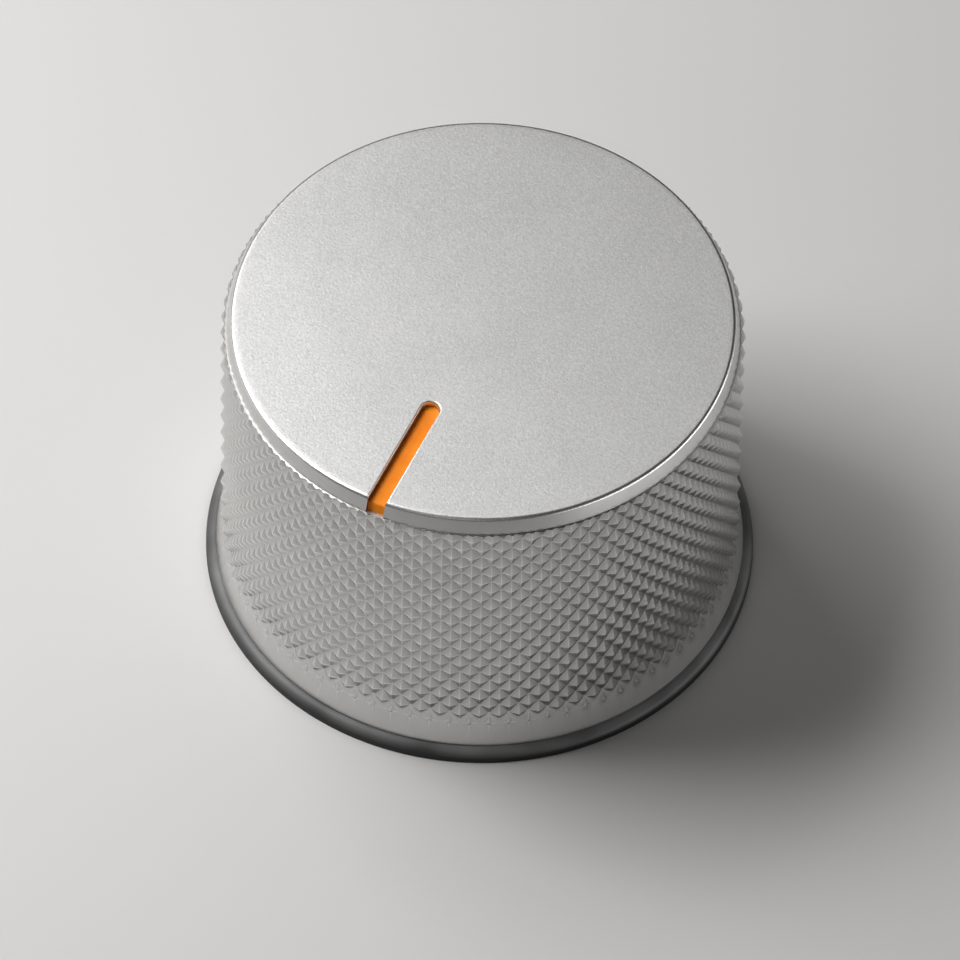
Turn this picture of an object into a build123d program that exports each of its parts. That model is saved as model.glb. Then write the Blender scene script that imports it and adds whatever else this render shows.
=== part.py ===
from build123d import *
import os
from math import ceil, cos, pi, sin

# A push-on control knob: a turned aluminium cap with a diamond knurl and an inlaid
# pointer, carried on a moulded hub whose black flange shows as a ring round the foot.
# Millimetres. The origin is the middle of the underside, +Z is up, and the pointer
# lies along -Y.

# Heights, from the panel up
flange_height = 1.0
skirt_height = 1.6
knurl_height = 21.5
collar_height = 0.92
rim_chamfer = 0.28

# Radii of the outside: the grip's, over the knurl's points, and what is set off from it
grip_radius = 18.0
knurl_depth = 0.3
collar_step = 0.06
collar_taper = 0.3
skirt_flare = 0.3
skirt_edge_break = 0.08
flange_lip = 0.7
flange_shoulder = 0.68
flange_shoulder_flats = 2

# Diamond knurl: teeth round the knob, the part of a tooth by which its columns are turned
# from the pointer, the pitch of its points down it, how far a first row of points would
# stand above its top end, and how far it runs on inside the skirt
knurl_teeth = 82
knurl_turn = -0.4
knurl_pitch = 1.86
knurl_lead = 0.4
knurl_run_in = 0.4

# Pointer inlay and the slot it lies in
slot_width = 1.3
slot_length = 9.38
slot_edge_break = 0.09
inlay_clearance = 0.02
inlay_top_recess = 0.5
inlay_end_recess = 0.24
inlay_end_fillet = 0.12

# Hollow of the cap and the hub's spigot inside it
cap_wall = 2.4
cap_roof = 2.6
spigot_clearance = 0.03
spigot_wall = 1.6
web_thickness = 1.6
web_underside_height = 9.0
rib_count = 6
rib_thickness = 1.2
nut_recess_height = 5.0
boss_radius = 6.4
boss_roof_gap = 0.3

# Shaft bush, for a 6 mm shaft with a flat
bore_radius = 3.0
shaft_flat_depth = 1.5
flat_bore_relief = 0.2
bush_radius = 4.4
bush_mouth_height = 5.6
bush_round_length = 7.0
bush_flat_length = 8.0
bush_lead_in = 0.4

# Leaf spring that bears on the shaft's flat
spring_width = 2.6
spring_thickness = 0.25
spring_length = 6.0
spring_pocket_depth = 0.7
spring_pocket_clearance = 0.1
spring_reach = 0.2

# Levels and radii that follow from the sizes above
skirt_foot_z = flange_height
knurl_foot_z = skirt_foot_z + skirt_height
knurl_top_z = knurl_foot_z + knurl_height
rim_z = knurl_top_z + collar_height
top_z = rim_z + rim_chamfer
knurl_first_z = knurl_top_z + knurl_lead
knurl_floor_z = knurl_foot_z - knurl_run_in
knurl_root_radius = grip_radius - knurl_depth
collar_foot_radius = knurl_root_radius - collar_step
collar_top_radius = collar_foot_radius - collar_taper
skirt_foot_radius = grip_radius + skirt_flare
skirt_top_z = knurl_foot_z + (grip_radius - collar_foot_radius) * skirt_height / skirt_flare
flange_radius = skirt_foot_radius + flange_lip
slot_inner_radius = collar_top_radius - slot_length
cavity_radius = knurl_root_radius - cap_wall
cavity_roof_z = top_z - cap_roof
spigot_radius = cavity_radius - spigot_clearance
bush_top_z = bush_mouth_height + bush_round_length + bush_flat_length
bush_flat_z = bush_mouth_height + bush_round_length
boss_top_z = cavity_roof_z - boss_roof_gap


def turned(*outline):
    """A solid turned about Z from its half section, given as (radius, height) points."""
    section = make_face(Polyline(*[(radius, 0, z) for radius, z in outline], close=True))
    return revolve(section, Axis.Z)


def on_column(column, radius, z):
    """A point on one of the knurl's upright lines, two to a tooth, counted from the pointer."""
    angle = (column + 2 * knurl_turn) * pi / knurl_teeth
    return Vector(radius * sin(angle), -radius * cos(angle), z)


def lattice_point(row, column):
    """A corner of the knurl: crests and roots alternate along rows and columns."""
    on_crest = (row + column) % 2 == 0
    radius = grip_radius if on_crest else knurl_root_radius
    return on_column(column, radius, knurl_first_z - row * knurl_pitch / 2)


def faceted(outlines):
    """A solid from the outlines of all its flat faces."""
    return Solid(Shell([Face(Wire.make_polygon(outline, close=True)) for outline in outlines]))


def clipped(corners, level, keep_below):
    """What is left of a flat facet on one side of a horizontal plane."""
    side = -1 if keep_below else 1
    kept = []
    for start, end in zip(corners, corners[1:] + corners[:1]):
        start_gap = side * (start.Z - level)
        end_gap = side * (end.Z - level)
        if start_gap >= 0:
            kept.append(start)
        if start_gap * end_gap < 0:
            kept.append(start + (end - start) * (start_gap / (start_gap - end_gap)))
    return kept


def knurl_facets():
    """The four flat faces of every tooth, cut off level at both ends of the knurl."""
    rows = ceil((knurl_first_z - knurl_floor_z) / (knurl_pitch / 2))
    facets = []
    for row in range(rows):
        for column in range(2 * knurl_teeth):
            high_left = lattice_point(row, column)
            high_right = lattice_point(row, column + 1)
            low_left = lattice_point(row + 1, column)
            low_right = lattice_point(row + 1, column + 1)
            if (row + column) % 2 == 0:
                pair = [[high_left, low_left, high_right], [low_right, high_right, low_left]]
            else:
                pair = [[high_right, high_left, low_right], [low_left, low_right, high_left]]
            for corners in pair:
                corners = clipped(corners, knurl_top_z, True)
                corners = clipped(corners, knurl_floor_z, False)
                if len(corners) > 2:
                    facets.append(corners)
    return facets


def end_outline(facets, level):
    """The toothed outline that the facets leave in a level plane, in order round the axis."""
    tolerance = 1e-6
    corners = {}
    for facet in facets:
        for corner in facet:
            if abs(corner.Z - level) < tolerance:
                turn = round(Vector(corner.X, corner.Y, 0).get_signed_angle(Vector(1, 0, 0)), 4)
                corners[turn] = corner
    return [corners[turn] for turn in sorted(corners)]


def make_knurl():
    facets = knurl_facets()
    return faceted(facets + [end_outline(facets, level) for level in (knurl_top_z, knurl_floor_z)])


def make_skirt():
    """The skirt, with a flat to each column, so that every tooth runs out into a flat face."""
    levels = [
        (skirt_foot_radius - skirt_edge_break, skirt_foot_z),
        (skirt_foot_radius, skirt_foot_z + skirt_edge_break),
        (collar_foot_radius, skirt_top_z),
    ]
    columns = range(2 * knurl_teeth)
    rings = [[on_column(column, radius, z) for column in columns] for radius, z in levels]
    flats = [
        [low[column - 1], low[column], high[column], high[column - 1]]
        for low, high in zip(rings, rings[1:])
        for column in columns
    ]
    return faceted(flats + [rings[0], rings[-1]])


def slot_outline(width, inner_radius, outer_radius):
    """A radial slot with a round inner end, along -Y."""
    half = width / 2
    straight = Pos(0, -(inner_radius + half + outer_radius) / 2) * Rectangle(
        width, outer_radius - inner_radius - half)
    return straight + Pos(0, -inner_radius - half) * Circle(half)


def make_slot():
    outside = flange_radius
    outline = slot_outline(slot_width, slot_inner_radius, outside)
    cut = Pos(0, 0, knurl_top_z) * extrude(outline, top_z - knurl_top_z)
    edge_break = Pos(0, 0, top_z - slot_edge_break) * extrude(
        outline, slot_edge_break, taper=-45)
    return cut + edge_break


def make_cap():
    collar = turned(
        (0, knurl_top_z),
        (collar_foot_radius, knurl_top_z),
        (collar_top_radius, rim_z),
        (collar_top_radius - rim_chamfer, top_z),
        (0, top_z),
    )
    cavity = turned(
        (0, skirt_foot_z),
        (cavity_radius, skirt_foot_z),
        (cavity_radius, cavity_roof_z),
        (0, cavity_roof_z),
    )
    return make_knurl() + [collar, make_skirt()] - [cavity, make_slot()]


def make_inlay():
    """The pointer: a bar that fills the slot's floor and stops short of the collar's face."""
    outline = slot_outline(
        slot_width - 2 * inlay_clearance,
        slot_inner_radius + inlay_clearance,
        flange_radius,
    )
    height = top_z - inlay_top_recess - knurl_top_z
    bar = Pos(0, 0, knurl_top_z) * extrude(outline, height)
    flare = (collar_foot_radius - collar_top_radius) / collar_height
    end_foot_radius = collar_foot_radius - inlay_end_recess
    limit = turned(
        (0, knurl_top_z),
        (end_foot_radius, knurl_top_z),
        (end_foot_radius - flare * height, knurl_top_z + height),
        (0, knurl_top_z + height),
    )
    bar = bar & limit
    bend = bar.edges().group_by(Axis.Z)[-1].sort_by(Axis.Y)[0]
    return fillet(bend, inlay_end_fillet)


def bush_blank():
    """The bush's plain outside, a press fit in the hub."""
    return Pos(0, 0, bush_mouth_height) * extrude(Circle(bush_radius), bush_top_z - bush_mouth_height)


def make_bush():
    bush = bush_blank()
    bush -= Pos(0, 0, bush_mouth_height) * extrude(Circle(bore_radius), bush_round_length)
    flat_y = bore_radius - shaft_flat_depth
    flat_bore_radius = bore_radius + flat_bore_relief
    flat_bore = Circle(flat_bore_radius) - Pos(0, flat_y + flat_bore_radius) * Rectangle(
        2 * flat_bore_radius, 2 * flat_bore_radius)
    bush -= Pos(0, 0, bush_flat_z) * extrude(flat_bore, bush_flat_length)
    pocket = Box(
        spring_width + 2 * spring_pocket_clearance,
        2 * spring_pocket_depth,
        spring_length + 2 * spring_pocket_clearance,
    )
    bush -= Pos(0, flat_y, spring_middle_z()) * pocket
    lead_in = turned(
        (0, bush_mouth_height),
        (bore_radius + bush_lead_in, bush_mouth_height),
        (bore_radius, bush_mouth_height + bush_lead_in),
        (0, bush_mouth_height + bush_lead_in),
    )
    return bush - lead_in


def spring_middle_z():
    return bush_flat_z + bush_flat_length / 2


def make_spring():
    """A bowed leaf whose ends stand on the pocket's floor and whose middle meets the flat."""
    floor_y = bore_radius - shaft_flat_depth + spring_pocket_depth
    crown_y = bore_radius - shaft_flat_depth - spring_reach
    half = spring_length / 2
    z = spring_middle_z()
    inner = ThreePointArc(
        (0, floor_y - spring_thickness, z - half),
        (0, crown_y, z),
        (0, floor_y - spring_thickness, z + half),
    )
    outer = ThreePointArc(
        (0, floor_y, z - half),
        (0, crown_y + spring_thickness, z),
        (0, floor_y, z + half),
    )
    ends = [Line(inner @ 0, outer @ 0), Line(inner @ 1, outer @ 1)]
    section = make_face([inner, outer] + ends)
    return extrude(section, spring_width / 2, both=True)


def shoulder_points():
    """The flange's rounded shoulder, from its side up to its top, in a few equal flats."""
    points = []
    for index in range(flange_shoulder_flats + 1):
        turn = pi / 2 * index / flange_shoulder_flats
        points.append((
            flange_radius - flange_shoulder * (1 - cos(turn)),
            flange_height - flange_shoulder * (1 - sin(turn)),
        ))
    return points


def make_hub():
    flange_inner_radius = spigot_radius - spigot_wall
    spigot_top_z = web_underside_height + web_thickness
    flange = turned(
        (flange_inner_radius, 0),
        (flange_radius, 0),
        *shoulder_points(),
        (flange_inner_radius, flange_height),
    )
    spigot = turned(
        (flange_inner_radius, 0),
        (spigot_radius, 0),
        (spigot_radius, spigot_top_z),
        (flange_inner_radius, spigot_top_z),
    )
    web = turned(
        (0, web_underside_height),
        (spigot_radius - spigot_wall / 2, web_underside_height),
        (spigot_radius - spigot_wall / 2, web_underside_height + web_thickness),
        (0, web_underside_height + web_thickness),
    )
    boss = turned(
        (0, nut_recess_height),
        (boss_radius, nut_recess_height),
        (boss_radius, boss_top_z),
        (0, boss_top_z),
    )
    rib_length = spigot_radius - spigot_wall / 2
    rib_height = web_underside_height - nut_recess_height
    rib = Pos(rib_length / 2, 0, nut_recess_height + rib_height / 2) * Box(
        rib_length, rib_thickness, rib_height)
    ribs = [Rot(0, 0, 360 / rib_count * index) * rib for index in range(rib_count)]
    hub = flange + [spigot, web, boss] + ribs
    mouth = Pos(0, 0, nut_recess_height) * extrude(
        Circle(bush_radius), bush_mouth_height - nut_recess_height)
    return hub - [bush_blank(), mouth]


nodes = {
    "knob_cap": make_cap,
    "pointer_inlay": make_inlay,
    "inner_hub": make_hub,
    "shaft_bush": make_bush,
    "shaft_spring": make_spring,
}

os.makedirs("parts", exist_ok=True)
for name, make in nodes.items():
    part = make()
    part.label = name
    export_step(part, f"parts/{name}.step")
    print(name, "volume", round(part.volume, 2), "mm3")
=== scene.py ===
# %% [markdown]
# # A knurled control knob
# The real thing is a turned aluminium cap with a blasted top, a diamond knurl round its
# grip and an orange pointer let into a slot. The cap sits on a moulded black hub, whose
# flange shows as a dark ring round the foot. Underneath are the hub's ribs, a brass bush
# for the shaft, and a small leaf spring.
#
# The CAD model is loaded first. It fixes where every piece is, and it never moves.

# %% Load the frame
import math

import bmesh
import bpy
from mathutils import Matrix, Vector


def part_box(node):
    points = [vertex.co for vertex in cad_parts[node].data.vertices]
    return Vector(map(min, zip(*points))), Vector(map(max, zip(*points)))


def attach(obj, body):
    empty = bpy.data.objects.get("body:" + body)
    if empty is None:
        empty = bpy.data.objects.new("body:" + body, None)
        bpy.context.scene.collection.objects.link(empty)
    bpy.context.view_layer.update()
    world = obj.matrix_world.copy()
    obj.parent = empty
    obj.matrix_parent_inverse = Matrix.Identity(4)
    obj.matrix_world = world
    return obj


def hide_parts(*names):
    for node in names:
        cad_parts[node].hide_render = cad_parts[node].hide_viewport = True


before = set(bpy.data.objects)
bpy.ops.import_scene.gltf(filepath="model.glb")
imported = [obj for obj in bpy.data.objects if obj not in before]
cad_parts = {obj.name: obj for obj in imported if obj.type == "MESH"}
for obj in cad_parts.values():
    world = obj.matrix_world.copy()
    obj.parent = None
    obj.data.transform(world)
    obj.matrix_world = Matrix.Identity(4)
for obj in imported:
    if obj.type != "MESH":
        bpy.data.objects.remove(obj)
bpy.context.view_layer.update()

# %% [markdown]
# ## Sizes
# What the frame can tell is read from the boxes of the CAD nodes. The rest are the sizes
# that the turner worked to, in metres. They follow from each other: the ring's radius less
# its lip gives the skirt's foot, the flare gives the grip, and the collar above the knurl
# is smaller by the knurl's depth and a small step, and leans inwards.

# %% Sizes read from the frame
MM = 0.001
cap_low, cap_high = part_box("knob_cap")
hub_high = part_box("inner_hub")[1]
inlay_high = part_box("pointer_inlay")[1]
bush_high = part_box("shaft_bush")[1]
top_z = cap_high.z
skirt_foot_z = cap_low.z
flange_radius = hub_high.x
print("knob height", round(top_z / MM, 2), "mm, ring diameter", round(2 * flange_radius / MM, 2), "mm")

# %% Sizes of the skirt and the grip
flange_lip = 0.7 * MM
skirt_flare = 0.3 * MM
knurl_depth = 0.3 * MM
skirt_foot_radius = flange_radius - flange_lip
grip_radius = skirt_foot_radius - skirt_flare
print("grip diameter", round(2 * grip_radius / MM, 2), "mm")

# %% Sizes of the collar and the rim
rim_chamfer = 0.28 * MM
collar_height = 0.92 * MM
collar_step = 0.06 * MM
collar_taper = 0.3 * MM
knurl_top_z = top_z - rim_chamfer - collar_height
collar_foot_radius = grip_radius - knurl_depth - collar_step
rim_radius = collar_foot_radius - collar_taper
print("knurl top", round(knurl_top_z / MM, 2), "mm, rim radius", round(rim_radius / MM, 2), "mm")

# %% [markdown]
# ## The camera
# A long lens from a good metre away looks down on the knob, a little to the right of its
# pointer. The viewing angle and the distance are worked out from how round the rim, the
# skirt and the ring look, and how much smaller the far ones are. A camera could be aimed
# with a constraint, but three directions at right angles say exactly how it is turned.

# %% View
view_azimuth = math.radians(24.0)
view_elevation = math.radians(52.474)
view_roll = math.radians(0.998)
view_distance = 1194.16 * MM
view_width = math.radians(3.1732)
aim_right = -0.097 * MM
aim_up = -3.296 * MM

back = Vector((
    math.sin(view_azimuth) * math.cos(view_elevation),
    -math.cos(view_azimuth) * math.cos(view_elevation),
    math.sin(view_elevation),
))
picture_right = Vector((math.cos(view_azimuth), math.sin(view_azimuth), 0))
picture_up = back.cross(picture_right)
rolled_right = math.cos(view_roll) * picture_right + math.sin(view_roll) * picture_up
rolled_up = math.cos(view_roll) * picture_up - math.sin(view_roll) * picture_right
aim = Vector((0, 0, top_z / 2)) + aim_right * rolled_right + aim_up * rolled_up
print("the camera looks at", [round(x, 4) for x in aim])

# %% Camera
camera_data = bpy.data.cameras.new("camera")
camera_data.sensor_width = 36
camera_data.lens = camera_data.sensor_width / 2 / math.tan(view_width / 2)
camera_data.clip_start = 0.05
camera_data.clip_end = 20
camera = bpy.data.objects.new("camera", camera_data)
bpy.context.scene.collection.objects.link(camera)
turn = camera.matrix_world.to_3x3()
for axis, column in enumerate((rolled_right, rolled_up, back)):
    turn.col[axis] = column
camera.matrix_world = turn.to_4x4()
camera.location = aim + view_distance * back
bpy.context.scene.camera = camera
print("lens", round(camera_data.lens), "mm")

# %% [markdown]
# ## The floor
# The knob stands on a plain pale board. One large flat face is enough, because only the
# knob's shadow and a little of its colour fall on it.

# %% Floor
floor_size = 1.2
floor_data = bpy.data.meshes.new("floor")
floor_data.from_pydata(
    [(x * floor_size, y * floor_size, 0) for x, y in ((-1, -1), (1, -1), (1, 1), (-1, 1))],
    [], [(0, 1, 2, 3)])
floor = bpy.data.objects.new("floor", floor_data)
bpy.context.scene.collection.objects.link(floor)
print("floor", 2 * floor_size, "m wide")

# %% [markdown]
# ## The lights
# The light is soft and comes mostly from the left and from behind. A blasted top shows
# the lamps as a wide, weak glow, so a small one close by makes the top paler on its side.
# Weak low lamps at the right and in front keep the knurl's dark side readable. A single
# picture of the surroundings could light the knob too, but lamps can be moved one by one.

# %% Lights
across = picture_right
away = Vector((-across.y, across.x, 0))


def softbox(name, side, depth, height, size, power):
    """An area light that faces the knob's foot. Its place is sideways, away and up in the picture."""
    light_data = bpy.data.lights.new(name, "AREA")
    light_data.shape = "RECTANGLE"
    light_data.size = size[0]
    light_data.size_y = size[1]
    light_data.energy = power
    light = bpy.data.objects.new(name, light_data)
    bpy.context.scene.collection.objects.link(light)
    light.location = side * across + depth * away + Vector((0, 0, height))
    light.rotation_mode = "QUATERNION"
    light.rotation_quaternion = (-light.location).to_track_quat("-Z", "Y")
    print(name, "at", [round(x, 3) for x in light.location])


softbox("left_softbox", side=-0.25, depth=0.05, height=0.20, size=(0.2, 0.2), power=0.42)
softbox("near_left", side=-0.12, depth=0.03, height=0.20, size=(0.1, 0.1), power=0.24)
softbox("near_back_left", side=-0.10, depth=0.11, height=0.20, size=(0.1, 0.1), power=0.14)
softbox("back_softbox", side=0.0, depth=0.22, height=0.38, size=(0.3, 0.2), power=0.09)
softbox("right_low", side=0.33, depth=0.0, height=0.035, size=(0.25, 0.06), power=0.24)
softbox("right_front_low", side=0.26, depth=-0.20, height=0.035, size=(0.2, 0.06), power=0.16)
softbox("front_fill", side=-0.08, depth=-0.30, height=0.25, size=(0.2, 0.15), power=0.05)

# %% World and colours
dim_grey = (0.01, 0.01, 0.01, 1)
world = bpy.data.worlds.new("studio")
bpy.context.scene.world = world
world.use_nodes = True
world.node_tree.nodes["Background"].inputs["Color"].default_value = dim_grey
bpy.context.scene.view_settings.view_transform = "Standard"
print("world", dim_grey[:3])

# %% [markdown]
# ## Shared effects
# Three effects serve more than one material: the fine grain that blasting or a mould's
# skin leaves, the brightening of edges, partly handling wear and partly a painted highlight,
# and the faint dust that settles on what faces up. Each is made once, as a node group with
# named inputs, and placed in a material with values of its own. Small helpers place the
# nodes, so that the effect can be read.

# %% Helpers for nodes


def add_node(tree, kind, settings=(), inputs=(), links=()):
    """A node with its settings, plain input values and incoming links."""
    node = tree.nodes.new("ShaderNode" + kind)
    for name, value in dict(settings).items():
        setattr(node, name, value)
    for name, value in dict(inputs).items():
        node.inputs[name].default_value = value
    for name, source in dict(links).items():
        tree.links.new(source, node.inputs[name])
    return node


def new_group(name, inputs, outputs):
    """An empty shader node group with named sockets, and its two end nodes."""
    group = bpy.data.node_groups.new(name, "ShaderNodeTree")
    for label, kind, value in inputs:
        socket = group.interface.new_socket(label, in_out="INPUT", socket_type="NodeSocket" + kind)
        socket.default_value = value
    for label, kind in outputs:
        group.interface.new_socket(label, in_out="OUTPUT", socket_type="NodeSocket" + kind)
    print("group", name, "puts out", [label for label, kind in outputs])
    return group, group.nodes.new("NodeGroupInput"), group.nodes.new("NodeGroupOutput")


# %% Helpers for values and colours
mix_sockets = {"FLOAT": (2, 3, 0), "RGBA": (6, 7, 2)}


def remap(tree, source, start, end, low=0.0, high=1.0):
    """A value that runs from low to high while its source runs from start to end."""
    limits = {"From Min": start, "From Max": end, "To Min": low, "To Max": high}
    return add_node(tree, "MapRange", {}, limits, {"Value": source}).outputs["Result"]


def multiply(tree, first, second):
    """The product of two values, kept between 0 and 1."""
    node = add_node(
        tree, "Math", {"operation": "MULTIPLY", "use_clamp": True}, {}, {0: first, 1: second})
    return node.outputs[0]


def blend(tree, share, first, second, kind="RGBA"):
    """What lies between two colours, or two values, each of them plain or from a socket."""
    first_socket, second_socket, output = mix_sockets[kind]
    node = add_node(tree, "Mix", {"data_type": kind}, {}, {0: share})
    for socket, source in ((first_socket, first), (second_socket, second)):
        if isinstance(source, bpy.types.NodeSocket):
            tree.links.new(source, node.inputs[socket])
        else:
            node.inputs[socket].default_value = source
    return node.outputs[output]


def add_noise(tree, place, size, shape):
    """Noise whose lumps have the size, in metres, that a socket gives."""
    scale = add_node(tree, "Math", {"operation": "DIVIDE"}, {0: 1.0}, {1: size})
    noise = add_node(tree, "TexNoise", {}, shape, {"Vector": place, "Scale": scale.outputs[0]})
    return noise.outputs["Fac"]


# %% [markdown]
# ### Grain
# Glass beads dent a blasted surface all over, and a mould's skin prints its own fine
# roughness on plastic. An image could hold such a grain, but noise in the object's own
# coordinates has no seams and keeps its true size. The group gives a height for the bump,
# a speckle for the colour, and a slow mottle that breaks up large plain faces.

# %% Grain group
grain_group, group_in, group_out = new_group(
    "surface_grain",
    [("Grain Size", "Float", 0.1 * MM), ("Mottle Size", "Float", 4 * MM), ("Seed", "Float", 0.0)],
    [("Height", "Float"), ("Speckle", "Float"), ("Mottle", "Float")])
place = add_node(grain_group, "TexCoord").outputs["Object"]
shifted = add_node(
    grain_group, "VectorMath", {"operation": "ADD"}, {},
    {0: place, 1: group_in.outputs["Seed"]}).outputs[0]
grain_noises = {
    "Height": (shifted, "Grain Size", {"Detail": 2.0, "Roughness": 0.6}),
    "Speckle": (place, "Grain Size", {"Detail": 1.0, "Roughness": 0.5, "Distortion": 0.3}),
    "Mottle": (shifted, "Mottle Size", {"Detail": 3.0, "Roughness": 0.55}),
}
for output, (where, size, shape) in grain_noises.items():
    noise = add_noise(grain_group, where, group_in.outputs[size], shape)
    grain_group.links.new(noise, group_out.inputs[output])

# %% [markdown]
# ### Edge wear and painted highlight
# Handling rubs the ridges of the knurl bright, and the same mark also paints a highlight on
# them. The ring's shoulder gets only a painted highlight, a grey that is lighter towards its
# top. Both are uneven. A bevel or pointiness node could find such edges, but the meshes here
# already know where their ridges are. So they store a mark, and the group breaks it into
# patches by noise.

# %% Edge wear and painted highlight group
wear_and_highlight_group, group_in, group_out = new_group(
    "edge_wear_and_highlight",
    [("Color", "Color", (0.5, 0.5, 0.5, 1)), ("Wear And Highlight Color", "Color", (0.8, 0.8, 0.8, 1)),
     ("Edge", "Float", 0.0), ("Amount", "Float", 0.5), ("Patch Size", "Float", 0.5 * MM)],
    [("Color", "Color")])
place = add_node(wear_and_highlight_group, "TexCoord").outputs["Object"]
patches = add_noise(wear_and_highlight_group, place, group_in.outputs["Patch Size"], {"Detail": 2.0})
broken = remap(wear_and_highlight_group, patches, 0.35, 0.65, 0.4, 1.0)
on_edge = multiply(wear_and_highlight_group, group_in.outputs["Edge"], group_in.outputs["Amount"])
# The marked edges take the second colour: wear on the knurl's ridges, and a painted highlight on both the
# ridges and the ring's shoulder.
worn_and_highlight = blend(
    wear_and_highlight_group, multiply(wear_and_highlight_group, on_edge, broken),
    group_in.outputs["Color"], group_in.outputs["Wear And Highlight Color"])
wear_and_highlight_group.links.new(worn_and_highlight, group_out.inputs["Color"])

# %% [markdown]
# ### Dust
# A little dust lies on every face that looks up, in loose clusters. The normal's height
# tells how far a face looks up, and noise makes the clusters. Real specks would cost many
# faces and hardly show at this size, so the dust is colour alone.

# %% Dust group
dust_group, group_in, group_out = new_group(
    "settled_dust",
    [("Color", "Color", (0.5, 0.5, 0.5, 1)), ("Dust Color", "Color", (0.6, 0.58, 0.55, 1)),
     ("Amount", "Float", 0.05), ("Cluster Size", "Float", 2 * MM)],
    [("Color", "Color")])
place = add_node(dust_group, "TexCoord").outputs["Object"]
normal = add_node(dust_group, "NewGeometry").outputs["Normal"]
upward = add_node(dust_group, "SeparateXYZ", {}, {}, {0: normal}).outputs["Z"]
clusters = add_noise(
    dust_group, place, group_in.outputs["Cluster Size"], {"Detail": 5.0, "Roughness": 0.7})
settled = multiply(dust_group, remap(dust_group, clusters, 0.45, 0.75), upward)
dusted = blend(
    dust_group, multiply(dust_group, settled, group_in.outputs["Amount"]),
    group_in.outputs["Color"], group_in.outputs["Dust Color"])
dust_group.links.new(dusted, group_out.inputs["Color"])

# %% [markdown]
# ## Materials
# Each finish is a function of its own, which starts from a Principled shader and places
# the shared effects in front of it. Colours run between two close shades, because no real
# surface has a single one. What is the same all over is set on the shader's own socket.

# %% Helpers for materials


def new_material(name):
    """A material with its tree and its own Principled shader."""
    material = bpy.data.materials.new(name)
    material.use_nodes = True
    print("material", name)
    return material, material.node_tree, material.node_tree.nodes["Principled BSDF"]


def add_group(tree, group, inputs=(), links=()):
    """A shared effect, placed in a material's tree with values of its own."""
    node = add_node(tree, "Group", {"node_tree": group})
    for name, value in dict(inputs).items():
        node.inputs[name].default_value = value
    for name, source in dict(links).items():
        tree.links.new(source, node.inputs[name])
    return node


def add_relief(tree, shader, height, distance, strength):
    """Bump from a height, in metres, that feeds the shader's normal."""
    bump = add_node(
        tree, "Bump", {}, {"Distance": distance, "Strength": strength}, {"Height": height})
    tree.links.new(bump.outputs["Normal"], shader.inputs["Normal"])


def vary(tree, noise, low, high):
    """A value that runs from low to high as a noise runs through its middle."""
    return remap(tree, noise, 0.25, 0.75, low, high)


def stored(tree, mark):
    """The value that each vertex of the mesh stores under a mark's name."""
    return add_node(tree, "Attribute", {"attribute_name": mark}).outputs["Fac"]


# %% [markdown]
# ### Blasted and machined aluminium
# The cap is one piece of metal with two finishes. Its top and rim are blasted, pale and
# speckled, and its side is left as machined, darker and smoother. The gap between the two is
# partly the finishes, and partly painted light on the top and painted shade on the side.
# The knurl's grooves are painted darker with depth, as painted shade with a little grime.
# Its ridges are painted bright, partly as handling wear and partly as a painted highlight.
# Two materials with a border could do it, but one material that reads the mesh's marks
# fades between them.

# %% Aluminium


def make_aluminium():
    """The cap's metal, whose marks say where it is machined, knurled, deep (painted shade) or on a ridge
    (wear and painted highlight).
    """
    material, tree, shader = new_material("blasted_aluminium")
    grain = add_group(tree, grain_group, {"Grain Size": 0.13 * MM, "Mottle Size": 5 * MM, "Seed": 3.0})
    speckle = vary(tree, grain.outputs["Speckle"], 0, 1)
    mottle = vary(tree, grain.outputs["Mottle"], 0, 1)
    # The pale top against the darker side is partly the two finishes, and partly painted light on the top
    # and painted shade on the side.
    blasted_and_lit = blend(tree, speckle, (0.74, 0.735, 0.725, 1), (0.97, 0.965, 0.95, 1))
    machined_and_shaded = blend(tree, mottle, (0.60, 0.595, 0.585, 1), (0.66, 0.655, 0.645, 1))
    top_and_side = blend(tree, stored(tree, "turned"), blasted_and_lit, machined_and_shaded)
    # Painted shade: the deeper a vertex lies in the knurl's grooves, the darker it is painted.
    groove_shade_share = remap(tree, stored(tree, "depth"), 0.0, 1.0, 0.0, 0.6)
    groove_shaded = blend(tree, groove_shade_share, top_and_side, (0.33, 0.325, 0.315, 1))
    # The ridges' edge mark paints them brighter, partly as wear and partly as a painted highlight.
    wear_and_highlight = add_group(
        tree, wear_and_highlight_group, {"Wear And Highlight Color": (1.0, 0.995, 0.985, 1), "Amount": 1.0},
        {"Color": groove_shaded, "Edge": stored(tree, "edge")})
    dust = add_group(tree, dust_group, {"Amount": 0.03}, {"Color": wear_and_highlight.outputs["Color"]})
    tree.links.new(dust.outputs["Color"], shader.inputs["Base Color"])
    satin = vary(tree, grain.outputs["Mottle"], 0.33, 0.37)
    roughness = blend(tree, stored(tree, "knurled"), satin, 0.24, "FLOAT")
    tree.links.new(roughness, shader.inputs["Roughness"])
    shader.inputs["Metallic"].default_value = 1.0
    add_relief(tree, shader, grain.outputs["Height"], 0.014 * MM, 0.7)
    return material


aluminium = make_aluminium()

# %% [markdown]
# ### Black plastic
# The hub is moulded in black, with the faint grain of its mould. All that shows is the
# ring, whose shoulder is painted grey in long soft patches, lighter towards its top: a
# painted highlight. A black this deep is nearly all gloss, so a low specular level matters
# more to its look than its colour does.

# %% Black plastic


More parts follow.
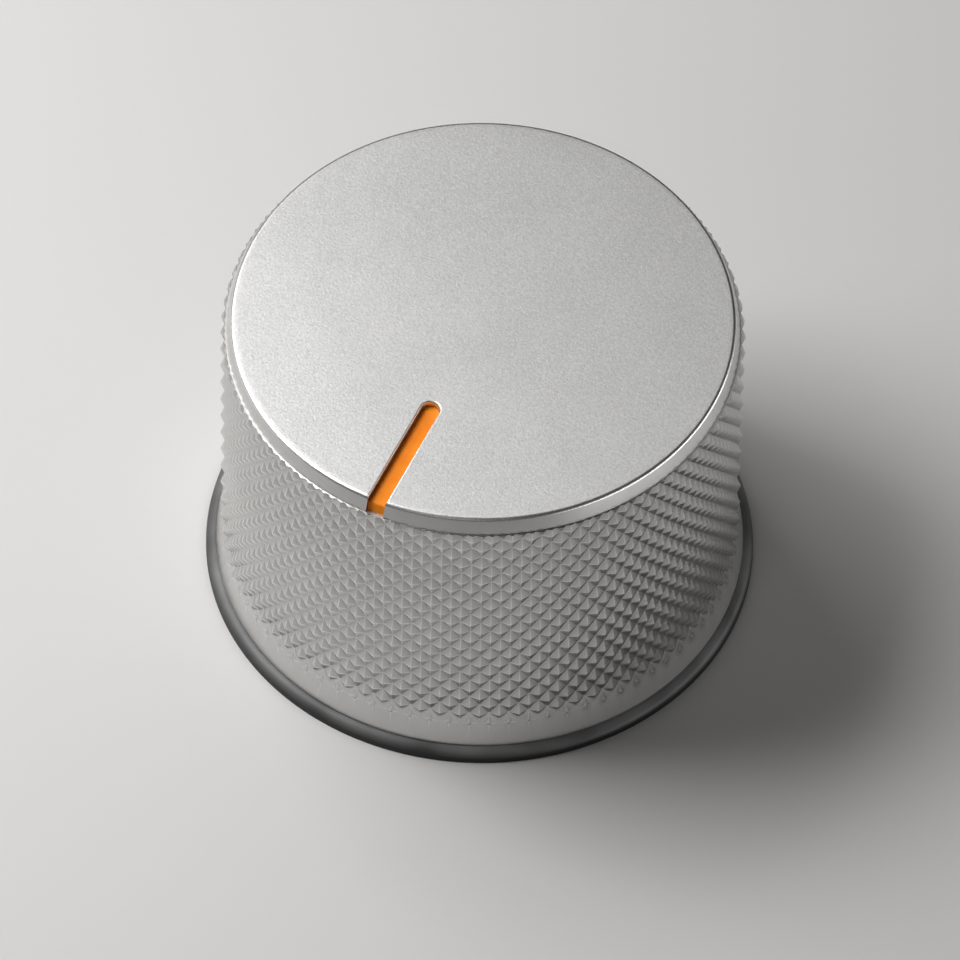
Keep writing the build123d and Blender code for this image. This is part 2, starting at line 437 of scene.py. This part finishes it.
def make_black_plastic():
    """Satin black moulding, with a painted grey highlight where its mesh is marked."""
    material, tree, shader = new_material("black_plastic")
    grain = add_group(tree, grain_group, {"Grain Size": 0.08 * MM, "Mottle Size": 3 * MM, "Seed": 7.0})
    mottle = vary(tree, grain.outputs["Mottle"], 0, 1)
    shade = blend(tree, mottle, (0.006, 0.006, 0.007, 1), (0.010, 0.010, 0.011, 1))
    # The shoulder's grey is a painted highlight, lighter towards the top of the shoulder.
    wear_and_highlight = add_group(
        tree, wear_and_highlight_group, {"Wear And Highlight Color": (0.24, 0.24, 0.237, 1), "Amount": 1.0, "Patch Size": 6 * MM},
        {"Color": shade, "Edge": stored(tree, "edge")})
    dust = add_group(tree, dust_group, {"Amount": 0.02}, {"Color": wear_and_highlight.outputs["Color"]})
    tree.links.new(dust.outputs["Color"], shader.inputs["Base Color"])
    tree.links.new(vary(tree, grain.outputs["Mottle"], 0.42, 0.50), shader.inputs["Roughness"])
    shader.inputs["Specular IOR Level"].default_value = 0.35
    add_relief(tree, shader, grain.outputs["Height"], 0.004 * MM, 0.3)
    return material


black_plastic = make_black_plastic()

# %% [markdown]
# ### Orange plastic
# The pointer is a bar of orange plastic, pressed or poured into the slot. Its face is a
# little uneven, so its bump is the slow mottle and not the fine grain, and a low specular
# level keeps the orange from turning pale under the lamps.

# %% Orange plastic


def make_orange_plastic():
    """Orange plastic with a soft gloss and a slightly uneven face."""
    material, tree, shader = new_material("orange_plastic")
    grain = add_group(tree, grain_group, {"Grain Size": 0.12 * MM, "Mottle Size": 1.2 * MM, "Seed": 11.0})
    mottle = vary(tree, grain.outputs["Mottle"], 0, 1)
    shade = blend(tree, mottle, (0.95, 0.225, 0.008, 1), (1.0, 0.30, 0.014, 1))
    dust = add_group(tree, dust_group, {"Amount": 0.01}, {"Color": shade})
    tree.links.new(dust.outputs["Color"], shader.inputs["Base Color"])
    tree.links.new(vary(tree, grain.outputs["Mottle"], 0.40, 0.50), shader.inputs["Roughness"])
    shader.inputs["Specular IOR Level"].default_value = 0.2
    add_relief(tree, shader, grain.outputs["Mottle"], 0.01 * MM, 0.4)
    return material


orange_plastic = make_orange_plastic()

# %% [markdown]
# ### Brass and spring steel
# The bush is turned brass and the spring is rolled steel, both bare and a little stained.
# The two differ only in colour, gloss and seed, so one function makes both.

# %% Bare metals


def make_turned_metal(name, dark, light, roughness, seed):
    """Bare metal with a fine grain, a slightly stained colour and an uneven gloss."""
    material, tree, shader = new_material(name)
    grain = add_group(tree, grain_group, {"Grain Size": 0.15 * MM, "Mottle Size": 1.5 * MM, "Seed": seed})
    mottle = vary(tree, grain.outputs["Mottle"], 0, 1)
    tree.links.new(blend(tree, mottle, (*dark, 1), (*light, 1)), shader.inputs["Base Color"])
    gloss = vary(tree, grain.outputs["Speckle"], roughness - 0.05, roughness + 0.06)
    tree.links.new(gloss, shader.inputs["Roughness"])
    shader.inputs["Metallic"].default_value = 1.0
    add_relief(tree, shader, grain.outputs["Height"], 0.006 * MM, 0.4)
    return material


brass = make_turned_metal("brass", (0.52, 0.36, 0.14), (0.68, 0.50, 0.22), 0.3, 17.0)
spring_steel = make_turned_metal("spring_steel", (0.32, 0.33, 0.36), (0.46, 0.47, 0.50), 0.25, 23.0)

# %% [markdown]
# ### The board
# The board under the knob is plain and matt. A mottle far larger than the knob, between
# two nearly equal shades, is enough to keep it from looking like a flat fill.

# %% Board


def make_board():
    """A plain pale board, matt, with a barely visible unevenness."""
    material, tree, shader = new_material("pale_board")
    grain = add_group(tree, grain_group, {"Grain Size": 0.3 * MM, "Mottle Size": 60 * MM, "Seed": 29.0})
    shade = blend(tree, grain.outputs["Mottle"], (0.70, 0.69, 0.675, 1), (0.72, 0.71, 0.70, 1))
    tree.links.new(shade, shader.inputs["Base Color"])
    shader.inputs["Roughness"].default_value = 0.6
    return material


floor_data.materials.append(make_board())

# %% [markdown]
# ## Turned surfaces
# Most of the knob is turned, so its shapes begin as half sections: short lists of points,
# each a radius and a height. A screw modifier could spin them, but here each point becomes
# a ring of vertices by itself. That way a ring can stop at the slot, have its own count of
# vertices where it meets the knurl, and store marks for the materials.

# %% Helpers for rings


def on_ring(radius, z, angle):
    """A point at an angle counted from the pointer, anticlockwise seen from above."""
    return Vector((radius * math.sin(angle), -radius * math.cos(angle), z))


def angle_of(vert):
    """The angle of a vertex, counted from the pointer, from 0 to a full turn."""
    return math.atan2(vert.co.x, -vert.co.y) % math.tau


def make_ring(mesh, radius, z, count):
    """A closed ring of new vertices."""
    return [mesh.verts.new(on_ring(radius, z, math.tau * step / count)) for step in range(count)]


def join_lines(mesh, low, high):
    """Fills the band between two lines with as many vertices each."""
    for step in range(len(low) - 1):
        mesh.faces.new((low[step], low[step + 1], high[step + 1], high[step]))


def join_rings(mesh, low, high):
    """Fills the band between two closed rings with as many vertices each."""
    join_lines(mesh, low + low[:1], high + high[:1])


# %% Helper for rings that do not match


def zip_rings(mesh, lower, upper):
    """Fills the band between two closed rings whose vertices need not match."""
    lower = sorted(lower, key=angle_of)
    upper = sorted(upper, key=angle_of)
    low_angles = [angle_of(vert) for vert in lower] + [angle_of(lower[0]) + math.tau]
    high_angles = [angle_of(vert) for vert in upper] + [angle_of(upper[0]) + math.tau]
    low = high = 0
    while low < len(lower) or high < len(upper):
        next_low = low_angles[low + 1] if low < len(lower) else math.inf
        next_high = high_angles[high + 1] if high < len(upper) else math.inf
        corner_low = lower[low % len(lower)]
        corner_high = upper[high % len(upper)]
        if next_low <= next_high:
            low += 1
            mesh.faces.new((corner_low, lower[low % len(lower)], corner_high))
        else:
            high += 1
            mesh.faces.new((corner_low, upper[high % len(upper)], corner_high))


# %% Helpers for rounded edges


def round_levels(top, size, steps):
    """Heights that climb a quarter-round edge in equal parts of its arc."""
    return [top - size * (1 - math.sin(math.pi / 2 * step / steps)) for step in range(steps + 1)]


def set_back(below, size):
    """How far a quarter-round edge stands back at a depth below its top."""
    climbed = max(0, 1 - below / size)
    return size * (1 - math.sqrt(1 - climbed ** 2))


# %% [markdown]
# ## Finishing a piece
# Every mesh gets the same last steps. Curved faces are shaded smooth, and creases sharper
# than a set angle stay sharp. Weighted normals let each big face keep its own direction,
# so that narrow bevels carry the highlight alone, as they do on metal. Then the piece is
# tied to the frame: it rides on the knob's body and stands for its CAD node.

# %% Helper for finished pieces
sharp_angle = math.radians(20)


def finish_piece(mesh, name, material, node):
    """Turns the mesh into a smooth-shaded piece that rides with the knob and stands for its node."""
    bmesh.ops.recalc_face_normals(mesh, faces=mesh.faces)
    for face in mesh.faces:
        face.smooth = True
    for edge in mesh.edges:
        edge.smooth = edge.calc_face_angle(0) < sharp_angle
    data = bpy.data.meshes.new(name)
    mesh.to_mesh(data)
    mesh.free()
    data.materials.append(material)
    piece = bpy.data.objects.new(name, data)
    bpy.context.scene.collection.objects.link(piece)
    weighted = piece.modifiers.new("weighted_normals", "WEIGHTED_NORMAL")
    weighted.weight = 100
    weighted.keep_sharp = True
    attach(piece, "root")
    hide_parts(node)
    triangles = sum(len(face.vertices) - 2 for face in data.polygons)
    print(name, triangles, "triangles")


# %% [markdown]
# ## The knurl
# Two sets of slanting grooves cross and leave rows of four-sided points. Where the points
# stand, the ridges run along the rows and the columns, and the groove bottoms run along
# the slants. So the surface is a lattice of cells, each with one groove bottom along its
# diagonal. Displacement would need far more faces, and a lattice has an edge just where
# each ridge and groove is. A rolled edge is never sharp, so each ridge and each groove
# bottom gets a narrow flat of its own, which catches the light as on the real knob.

# %% Sizes of the knurl
knurl_teeth = 82
knurl_turn = -0.4
knurl_pitch = 1.86 * MM
knurl_lead = 0.4 * MM
knurl_end_height = 1.45 * MM
row_height = knurl_pitch / 2
columns = 2 * knurl_teeth
first_row_z = knurl_top_z + knurl_lead
knurl_last_z = skirt_foot_z + knurl_end_height
rows = math.ceil((first_row_z - knurl_last_z) / row_height)
print("knurl", knurl_teeth, "points round,", rows, "rows of cells")

# %% One cell of the knurl
ridge = 0.06
groove = 0.04
flat = 1 - groove - ridge


def rounded(distance, width):
    """A distance from a crease, with its point rounded off over the given width."""
    distance = abs(distance)
    return distance if distance >= width else (distance ** 2 + width ** 2) / (2 * width)


def knurl_drop(across, down):
    """How deep the surface lies at a place in a cell whose points are top left and bottom right."""
    near = rounded(across, ridge) + rounded(down, ridge)
    far = rounded(1 - across, ridge) + rounded(1 - down, ridge)
    return (near + far) / 2 - rounded((near - far) / 2, groove)


half_cell = [
    [(0, 0), (ridge, 0), (ridge, ridge), (0, ridge)],
    [(ridge, 0), (1 - groove, 0), (flat, ridge), (ridge, ridge)],
    [(0, ridge), (ridge, ridge), (ridge, flat), (0, 1 - groove)],
    [(ridge, ridge), (flat, ridge), (ridge, flat)],
    [(flat, ridge), (1 - ridge, ridge), (ridge, 1 - ridge), (ridge, flat)],
    [(1 - groove, 0), (1, 0), (1 - ridge, ridge), (flat, ridge)],
    [(0, 1 - groove), (ridge, flat), (ridge, 1 - ridge), (0, 1)],
]
cell = half_cell + [[(1 - across, 1 - down) for across, down in face] for face in half_cell]
print("faces in a cell", len(cell))

# %% [markdown]
# ### The band of teeth
# Every second cell is mirrored, so that points meet points. Neighbours share their corners,
# which are found again by their rounded place in the lattice. Each corner stores three
# marks for the aluminium: how bright a ridge it is on, for wear and a painted highlight;
# how deep it lies, for the painted shade of the grooves; and that it is knurled.

# %% Band of teeth
ridge_fade = 0.6
place_digits = 4


def knurl_corner(mesh, corners, row, column, across, down):
    """The vertex at a place in a cell, made once for all the cells that meet there."""
    mirrored = (row + column) % 2
    columns_along = (column + (1 - across if mirrored else across)) % columns
    rows_down = row + down
    key = (round(columns_along, place_digits) % columns, round(rows_down, place_digits))
    if key not in corners:
        drop = knurl_drop(across, down)
        vert = mesh.verts.new(on_ring(
            grip_radius - knurl_depth * drop, first_row_z - rows_down * row_height,
            math.pi * (columns_along + 2 * knurl_turn) / knurl_teeth))
        marks = mesh.verts.layers.float
        on_ridge = across in (0, 1) or down in (0, 1)
        # Ridge corners get the mark for wear and a painted highlight, less the deeper they lie.
        vert[marks["edge"]] = 1 - ridge_fade * drop if on_ridge else 0
        # The depth drives the painted shade in the knurl's grooves.
        vert[marks["depth"]] = drop
        vert[marks["knurled"]] = 1
        corners[key] = vert
    return corners[key]


def make_knurl_band(mesh):
    """All the teeth, from a little above the knurl's top end down into the skirt's cone."""
    for mark in ("edge", "depth", "knurled"):
        mesh.verts.layers.float.new(mark)
    corners = {}
    for row in range(rows):
        for column in range(columns):
            for face in cell:
                mesh.faces.new([knurl_corner(mesh, corners, row, column, *spot) for spot in face])


# %% [markdown]
# ### Where the knurl ends
# At its top end the knurl stops in a level cut below the collar. At its foot it runs out
# into the cone of the plain skirt. A boolean would leave thin slivers there, so the faces
# are split where they meet the cone, and what lies inside the cone is raised to it. The
# marks fade there too, so that the skirt has no trace of the teeth that it swallowed.

# %% Cone of the skirt
skirt_height = 1.6 * MM
skirt_edge_break = 0.08 * MM
cone_foot_z = skirt_foot_z + skirt_edge_break
cone_top_z = skirt_foot_z + skirt_height * (1 + (grip_radius - collar_foot_radius) / skirt_flare)
skirt_slope = (skirt_foot_radius - collar_foot_radius) / (cone_top_z - cone_foot_z)
print("cone from", round(cone_foot_z / MM, 2), "to", round(cone_top_z / MM, 2), "mm")


def skirt_radius(z):
    """Radius of the skirt's cone at a height."""
    return skirt_foot_radius - (z - cone_foot_z) * skirt_slope


# %% Ends of the knurl
cut_within = 1e-8
level_within = 1e-7
run_out_zone = 4 * MM
marks_fade_over = 0.6 * knurl_depth


def cut_level(mesh, z, keep_below):
    """Cuts the band off level and returns its new rim, in order of angle."""
    bmesh.ops.bisect_plane(
        mesh, geom=mesh.verts[:] + mesh.edges[:] + mesh.faces[:], dist=cut_within,
        plane_co=(0, 0, z), plane_no=(0, 0, 1), clear_outer=keep_below, clear_inner=not keep_below)
    rim = [vert for vert in mesh.verts if abs(vert.co.z - z) < level_within and vert.is_boundary]
    return sorted(rim, key=angle_of)


def sink_into_skirt(mesh):
    """Runs the teeth out into the cone: faces are split where they meet it, then raised to it."""
    above = {}
    for vert in mesh.verts:
        if vert.co.z < skirt_foot_z + run_out_zone:
            above[vert] = math.hypot(vert.co.x, vert.co.y) - skirt_radius(vert.co.z)
    cuts = set()
    for edge in [edge for edge in mesh.edges if all(vert in above for vert in edge.verts)]:
        start, end = edge.verts
        if above[start] * above[end] < 0:
            share = above[start] / (above[start] - above[end])
            cuts.add(bmesh.utils.edge_split(edge, start, share)[1])
    for face in [face for face in mesh.faces if sum(vert in cuts for vert in face.verts) == 2]:
        bmesh.utils.face_split(face, *[vert for vert in face.verts if vert in cuts])
    for vert, height in above.items():
        for mark in mesh.verts.layers.float.values():
            vert[mark] *= max(0, min(1, height / marks_fade_over))
        if height < 0:
            level = skirt_radius(vert.co.z) / math.hypot(vert.co.x, vert.co.y)
            vert.co.x *= level
            vert.co.y *= level


# %% [markdown]
# ## The cap's top, with the pointer's slot
# The collar, the rim and the top are turned, and the slot is milled through them. Cutting
# the slot with a boolean would disturb the shading of the rim. Each turned ring therefore
# starts at one wall of the slot and ends at the other, and the walls are faces of their
# own. The blasting has rounded the rim's chamfer, so it is drawn as an arc that leaves the
# leaning collar and the flat top without a crease. It has rounded the slot's edges too, so
# the slot widens over its last tenth of a millimetre in a few levels, and the rim has a
# ring at each of them.

# %% Slot
slot_half_width = 0.65 * MM
slot_length = 9.38 * MM
slot_round_y = -(rim_radius - slot_length + slot_half_width)
slot_arc_steps = 24
slot_edge_round = 0.12 * MM
slot_edge_steps = 5
slot_levels = round_levels(top_z, slot_edge_round, slot_edge_steps)
print("slot", round(2 * slot_half_width / MM, 2), "mm wide,", round(slot_length / MM, 2), "mm long")


def slot_half_at(z):
    """Half the slot's width at a height, with the round edge of its last part."""
    return slot_half_width + set_back(top_z - z, slot_edge_round)


def round_end(mesh, half, z):
    """The slot's round inner end at a height, from its right side to its left one."""
    outline = []
    for step in range(slot_arc_steps + 1):
        turned_by = math.pi * step / slot_arc_steps
        outline.append(mesh.verts.new((
            half * math.cos(turned_by), slot_round_y + half * math.sin(turned_by), z)))
    return outline


# %% Turned rings of the crown
crown_steps = 360
rim_round = 0.3 * MM
rim_steps = 12
beside_slot = 1.2 * (slot_half_width + slot_edge_round) / rim_radius


def crown_outline():
    """The collar's side, the round rim and the start of the top, as radius and height."""
    lean = math.atan(collar_taper / collar_height)
    sweep = math.pi / 2 - lean
    corner_radius = rim_radius - rim_chamfer * math.tan(lean)
    centre_radius = corner_radius - rim_round * math.tan(sweep / 2)
    turns = {sweep * step / rim_steps: None for step in range(1, rim_steps + 1)}
    turns.update({math.acos(1 - (top_z - z) / rim_round): z for z in slot_levels})
    arc = []
    for turn in sorted(turns, reverse=True):
        z = top_z - rim_round * (1 - math.cos(turn)) if turns[turn] is None else turns[turn]
        arc.append((centre_radius + rim_round * math.sin(turn), z))
    return [(collar_foot_radius, knurl_top_z)] + arc + [(centre_radius - rim_round, top_z)]


def crown_ring(mesh, radius, z):
    """A turned ring, from one wall of the slot round to the other."""
    wall = math.asin(slot_half_at(z) / radius)
    turn = math.tau - 2 * beside_slot
    even = [beside_slot + turn * step / crown_steps for step in range(crown_steps + 1)]
    return [mesh.verts.new(on_ring(radius, z, angle)) for angle in (wall, *even, math.tau - wall)]


# %% Crown


def make_crown(mesh):
    """The collar, the rim, the top and the slot. Returns the ring at the collar's foot."""
    rings = [crown_ring(mesh, radius, z) for radius, z in crown_outline()]
    for low, high in zip(rings, rings[1:]):
        join_lines(mesh, low, high)
    heights = [knurl_top_z] + slot_levels
    lines = [round_end(mesh, slot_half_at(z), z) for z in heights]
    for low_z, high_z, low, high in zip(heights, heights[1:], lines, lines[1:]):
        join_lines(mesh, low, high)
        for end in (0, -1):
            corners = [
                ring[end] for ring in rings
                if low_z - cut_within <= ring[end].co.z <= high_z + cut_within]
            mesh.faces.new(corners + [high[end], low[end]])
    mesh.faces.new(rings[-1] + lines[-1][::-1])
    foot_front = mesh.verts.new(on_ring(collar_foot_radius, knurl_top_z, 0))
    mesh.faces.new([foot_front, rings[0][0]] + lines[0] + [rings[0][-1]])
    return [foot_front] + rings[0]


# %% [markdown]
# ## The whole cap
# The pieces of surface are joined into one closed mesh: knurl, crown, skirt, and the
# hollow that the hub is pressed into. Bands between rings that do not match are zipped,
# always going on from the ring that lags behind. A lathe tool leaves no perfectly sharp
# corner, so the skirt's corners are eased with a short curve, which gives its foot a thin
# highlight. A closed mesh can be checked at once: every edge has just two faces.

# %% Skirt and hollow
cavity_radius = 15.3 * MM
cavity_roof_z = top_z - 2.6 * MM
roof_centre_radius = 0.3 * MM
cone_start = 0.2 * MM
ease_size = 0.03 * MM
ease_steps = 2


def eased(outline):
    """The outline with each inner corner turned into a short curve."""
    points = [Vector(point) for point in outline]
    result = [points[0]]
    for before, corner, after in zip(points, points[1:], points[2:]):
        start = corner + (before - corner).normalized() * ease_size
        end = corner + (after - corner).normalized() * ease_size
        for step in range(ease_steps + 1):
            share = step / ease_steps
            result.append(
                (1 - share) ** 2 * start + 2 * share * (1 - share) * corner + share ** 2 * end)
    result.append(points[-1])
    return result


def skirt_outline():
    """The skirt's foot and the hollow inside, as radius and height."""
    return eased([
        (skirt_radius(cone_foot_z + cone_start), cone_foot_z + cone_start),
        (skirt_foot_radius, cone_foot_z),
        (skirt_foot_radius - skirt_edge_break, skirt_foot_z),
        (cavity_radius, skirt_foot_z),
        (cavity_radius, cavity_roof_z),
        (roof_centre_radius, cavity_roof_z),
    ])


# %% Cap
turned_steps = 256
blasted_depth = 0.6 * rim_round


def make_cap_mesh():
    """The closed cap, joined from the knurl, the crown, the skirt and the hollow."""
    mesh = bmesh.new()
    make_knurl_band(mesh)
    top_rim = cut_level(mesh, knurl_top_z, True)
    sink_into_skirt(mesh)
    low_rim = cut_level(mesh, knurl_last_z, False)
    zip_rings(mesh, top_rim, make_crown(mesh))
    rings = [make_ring(mesh, radius, z, turned_steps) for radius, z in skirt_outline()]
    zip_rings(mesh, low_rim, rings[0])
    for low, high in zip(rings, rings[1:]):
        join_rings(mesh, low, high)
    mesh.faces.new(rings[-1])
    return mesh


def mark_turned(mesh):
    """Stores which vertices lie on the machined side, below the rim that was blasted with the top."""
    turned_mark = mesh.verts.layers.float.new("turned")
    for vert in mesh.verts:
        vert[turned_mark] = float(vert.co.z < top_z - blasted_depth)


cap_mesh = make_cap_mesh()
mark_turned(cap_mesh)
open_edges = sum(not edge.is_manifold for edge in cap_mesh.edges)
print("open edges of the cap", open_edges)
finish_piece(cap_mesh, "cap", aluminium, "knob_cap")

# %% [markdown]
# ## The pointer
# The orange bar lies on the slot's floor, a little below the top. It could be a beveled
# box, but its inner end is round and its front leans with the collar. So it is a stack of
# outlines, drawn in a little near the top, where its edges are soft.

# %% Pointer
inlay_top_z = inlay_high.z
inlay_half_width = inlay_high.x
inlay_foot_radius = collar_foot_radius - 0.24 * MM
inlay_end_fillet = 0.12 * MM
inlay_soft_edge = 0.03 * MM
inlay_edge_steps = 6


def inlay_outline(mesh, z):
    """One level of the bar: round inner end, straight sides and a front that leans with the collar."""
    below_top = inlay_top_z - z
    half = inlay_half_width - set_back(below_top, inlay_soft_edge)
    front = inlay_foot_radius - collar_taper / collar_height * (z - knurl_top_z)
    front -= set_back(below_top, inlay_end_fillet)
    outline = [mesh.verts.new((x, -math.sqrt(front ** 2 - x ** 2), z)) for x in (-half, 0, half)]
    return outline + round_end(mesh, half, z)


def make_inlay_mesh():
    """The bar, from the slot's floor up, with a level at each step of its two round edges."""
    mesh = bmesh.new()
    levels = {knurl_top_z}
    for edge_size in (inlay_end_fillet, inlay_soft_edge):
        levels.update(round_levels(inlay_top_z, edge_size, inlay_edge_steps))
    outlines = [inlay_outline(mesh, z) for z in sorted(levels)]
    for low, high in zip(outlines, outlines[1:]):
        join_rings(mesh, low, high)
    mesh.faces.new(outlines[0])
    mesh.faces.new(outlines[-1])
    return mesh


finish_piece(make_inlay_mesh(), "pointer", orange_plastic, "pointer_inlay")

# %% [markdown]
# ## The hub
# The black hub is pressed into the cap. All of it but its six ribs can be drawn as turned:
# the flange that shows as the ring, the spigot, the web and the boss. Its flange has a
# rounded shoulder, drawn here as a true arc, because the ring's soft edge is seen all
# round the knob's foot.

# %% Turned part of the hub
flange_height = 1.0 * MM
flange_shoulder = 0.68 * MM
shoulder_steps = 12
press_gap = 0.03 * MM
spigot_wall = 1.6 * MM
spigot_radius = cavity_radius - press_gap
spigot_inner_radius = spigot_radius - spigot_wall
web_z = 9.0 * MM
web_thickness = 1.6 * MM
boss_radius = 6.4 * MM
nut_recess_z = 5.0 * MM
bush_radius = bush_high.x


def outer_outline():
    """The hub's half section, from its foot out round the flange and up to the boss's top."""
    shoulder = []
    for step in range(shoulder_steps + 1):
        turned_by = math.pi / 2 * step / shoulder_steps
        shoulder.append((
            flange_radius - flange_shoulder * (1 - math.cos(turned_by)),
            flange_height - flange_shoulder * (1 - math.sin(turned_by))))
    return [
        (spigot_inner_radius, 0),
        (flange_radius, 0),
        *shoulder,
        (spigot_radius, flange_height),
        (spigot_radius, web_z + web_thickness),
        (boss_radius, web_z + web_thickness),
        (boss_radius, hub_high.z),
    ]


def inner_outline():
    """The hub's hollow side, from the roof over the bush down and out to the spigot."""
    return [
        (bush_radius, bush_high.z),
        (bush_radius, nut_recess_z),
        (boss_radius, nut_recess_z),
        (boss_radius, web_z),
        (spigot_inner_radius, web_z),
    ]


def make_hub_mesh():
    """The turned hub, closed over its boss, over its bush and round its foot."""
    mesh = bmesh.new()
    outer, inner = [
        [make_ring(mesh, radius, z, turned_steps) for radius, z in outline]
        for outline in (outer_outline(), inner_outline())]
    for rings in (outer, inner):
        for low, high in zip(rings, rings[1:]):
            join_rings(mesh, low, high)
    mesh.faces.new(outer[-1])
    mesh.faces.new(inner[0])
    join_rings(mesh, inner[-1], outer[0])
    return mesh


# %% [markdown]
# ### The hub's ribs
# Six ribs stiffen the moulding between its boss and its spigot. A moulding has no seams,
# so the ribs are plain bars that reach a little way into both walls, joined to the turned
# hub by a boolean union. The exact solver is used, as the surfaces are few and plain.

# %% Ribs
rib_thickness = 1.2 * MM
rib_count = 6
rib_reach = 0.5 * MM


def make_rib_mesh():
    """Six ribs between the boss and the spigot, each reaching a little way into both."""
    mesh = bmesh.new()
    near, far = boss_radius - rib_reach, spigot_inner_radius + rib_reach
    half = rib_thickness / 2
    for index in range(rib_count):
        turned_by = math.tau * index / rib_count
        along = Vector((math.cos(turned_by), math.sin(turned_by), 0))
        beside = Vector((-along.y, along.x, 0))
        low, high = [
            [
                mesh.verts.new(distance * along + shift * beside + Vector((0, 0, z)))
                for distance, shift in ((near, -half), (far, -half), (far, half), (near, half))
            ]
            for z in (nut_recess_z, web_z + rib_reach)]
        mesh.faces.new(low)
        mesh.faces.new(high)
        join_rings(mesh, low, high)
    return mesh


# %% Union of the hub and its ribs


def joined_with_ribs():
    """The turned hub and its ribs as one closed mesh."""
    parts = []
    for name, mesh in (("turned_hub", make_hub_mesh()), ("ribs", make_rib_mesh())):
        bmesh.ops.recalc_face_normals(mesh, faces=mesh.faces)
        data = bpy.data.meshes.new(name)
        mesh.to_mesh(data)
        mesh.free()
        part = bpy.data.objects.new(name, data)
        bpy.context.scene.collection.objects.link(part)
        parts.append(part)
    turned_hub, ribs = parts
    union = turned_hub.modifiers.new("union", "BOOLEAN")
    union.operation = "UNION"
    union.solver = "EXACT"
    union.object = ribs
    evaluated = turned_hub.evaluated_get(bpy.context.evaluated_depsgraph_get())
    mesh = bmesh.new()
    mesh.from_mesh(evaluated.to_mesh())
    for part in parts:
        bpy.data.objects.remove(part)
    return mesh


# %% Hub
highlight_share = 0.9
shoulder_margin = 1.05


def mark_shoulder_highlight(mesh):
    """Stores how high on the flange's shoulder each vertex is: its upper part gets a painted grey
    highlight.
    """
    edge_mark = mesh.verts.layers.float.new("edge")
    # Painted highlight: the upper part of the shoulder is painted grey, fading to black lower down.
    highlight_from = flange_height - highlight_share * flange_shoulder
    for vert in mesh.verts:
        distance = math.hypot(vert.co.x, vert.co.y)
        outside = distance > flange_radius - shoulder_margin * flange_shoulder
        climbed = (vert.co.z - highlight_from) / (flange_height - highlight_from)
        vert[edge_mark] = max(0, min(1, climbed)) if outside else 0


hub_mesh = joined_with_ribs()
mark_shoulder_highlight(hub_mesh)
finish_piece(hub_mesh, "hub", black_plastic, "inner_hub")

# %% [markdown]
# ## The bush and the spring
# The bush holds the shaft, and the spring bears on the shaft's flat. Both are hidden under
# the knob. Their CAD shape is already true, so nothing stands for them: they only change
# their plain material for bare metal.

# %% Bush and spring
for node, metal in (("shaft_bush", brass), ("shaft_spring", spring_steel)):
    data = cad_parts[node].data
    data.materials.clear()
    data.materials.append(metal)
    print(node, "keeps its shape, in", metal.name)
